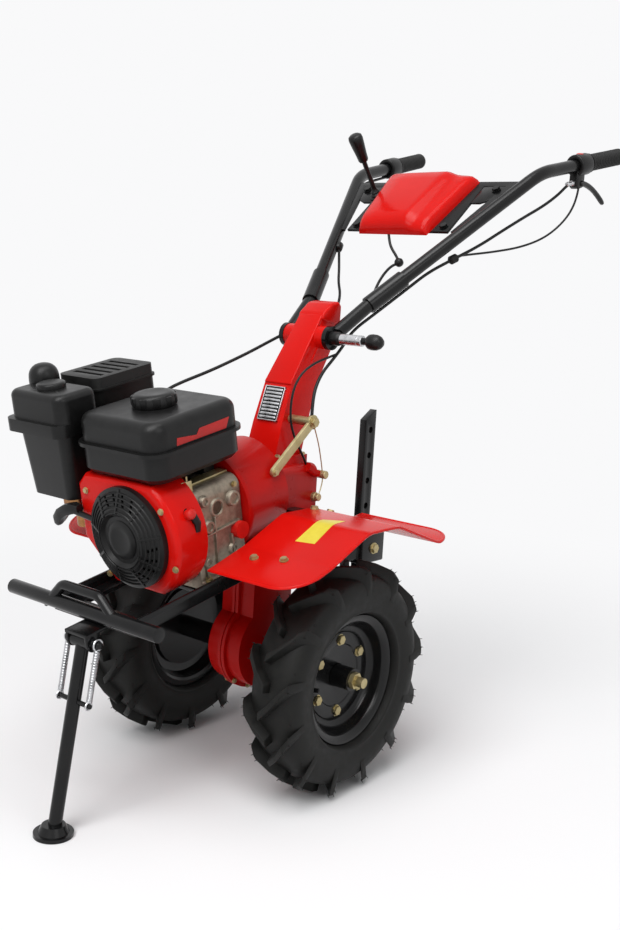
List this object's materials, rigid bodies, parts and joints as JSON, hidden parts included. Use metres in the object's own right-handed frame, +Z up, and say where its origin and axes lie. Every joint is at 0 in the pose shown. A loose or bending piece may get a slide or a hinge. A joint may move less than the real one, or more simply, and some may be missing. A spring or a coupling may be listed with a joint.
{
  "type": "power weeder",
  "caption": "Two-wheel walking power weeder: petrol engine over a gear case, lugged tyres, red fenders and column, tilting handlebar, folding front stand.",
  "frame": {"origin": "middle of the overall box, on the floor the machine stands on", "axes": "+X forward towards the engine, +Y to the machine's left, +Z up"},
  "size_m": [1.3012, 0.58, 1.2052],
  "materials": {
    "red_paint": "glossy enamel",
    "black_paint": "satin enamel",
    "cast_aluminium": "as cast",
    "zinc_plate": "yellow zinc plate",
    "bright_steel": "bright plate",
    "black_plastic": "moulded, fine grain",
    "rubber": "soft matt",
    "tyre_rubber": "moulded tread rubber",
    "red_plastic": "moulded"
  },
  "bodies": {
    "chassis": {"lower_casing": "red_paint", "upper_case": "red_paint", "engine_cradle": "black_paint", "front_bumper": "black_paint", "stand_bracket": "black_paint", "left_fender": "red_paint", "right_fender": "red_paint", "left_fender_stay": "black_paint", "right_fender_stay": "black_paint", "crankcase": "cast_aluminium", "cylinder_head": "cast_aluminium", "fan_shroud": "red_paint", "recoil_cover": "black_plastic", "pull_handle": "black_plastic", "fuel_tank": "black_plastic", "tank_cap": "black_plastic", "air_cleaner": "black_plastic", "muffler": "black_paint", "carburettor": "zinc_plate", "governor_plate": "zinc_plate", "oil_plug": "red_plastic", "handle_column": "red_paint", "column_grille": "black_plastic", "clutch_rocker": "zinc_plate", "hitch_bracket": "black_paint", "hitch_pin": "bright_steel", "clutch_cable_lower": "black_plastic", "throttle_cable_lower": "black_plastic"},
    "axle": {"axle_shaft": "zinc_plate", "left_hub": "black_paint", "right_hub": "black_paint", "left_rim": "black_paint", "right_rim": "black_paint", "left_tyre": "tyre_rubber", "right_tyre": "tyre_rubber"},
    "stand": {"stand_leg": "black_paint", "stand_springs": "bright_steel", "stand_foot": "black_paint"},
    "handlebar": {"left_handle_tube": "black_paint", "right_handle_tube": "black_paint", "left_grip": "rubber", "right_grip": "rubber", "stop_switch": "black_plastic", "throttle_control": "black_plastic", "clutch_lever": "black_plastic", "console_plate": "black_paint", "console_cover": "red_paint", "shift_lever": "black_plastic", "lock_bolt": "bright_steel", "lock_knob": "black_plastic", "clutch_cable_upper": "black_plastic", "throttle_cable_upper": "black_plastic"},
    "depth_bar": {"depth_bar": "black_paint"}
  },
  "joints": [
    {"name": "axle_spin", "type": "hinge", "parent": "chassis", "child": "axle", "pos_m": [0.1558, 0, 0.2075], "axis": [0, 1, 0], "continuous": true},
    {"name": "stand_fold", "type": "hinge", "parent": "chassis", "child": "stand", "pos_m": [0.56864, 0, 0.31068], "axis": [0, 1, 0], "range_deg": [0, 78]},
    {"name": "handle_tilt", "type": "hinge", "parent": "chassis", "child": "handlebar", "pos_m": [0.0498, 0, 0.788], "axis": [0, 1, 0], "range_deg": [-22, 14]},
    {"name": "depth_bar_slide", "type": "slide", "parent": "chassis", "child": "depth_bar", "axis": [0, 0, 1], "range_m": [-0.1, 0.05]}
  ]
}
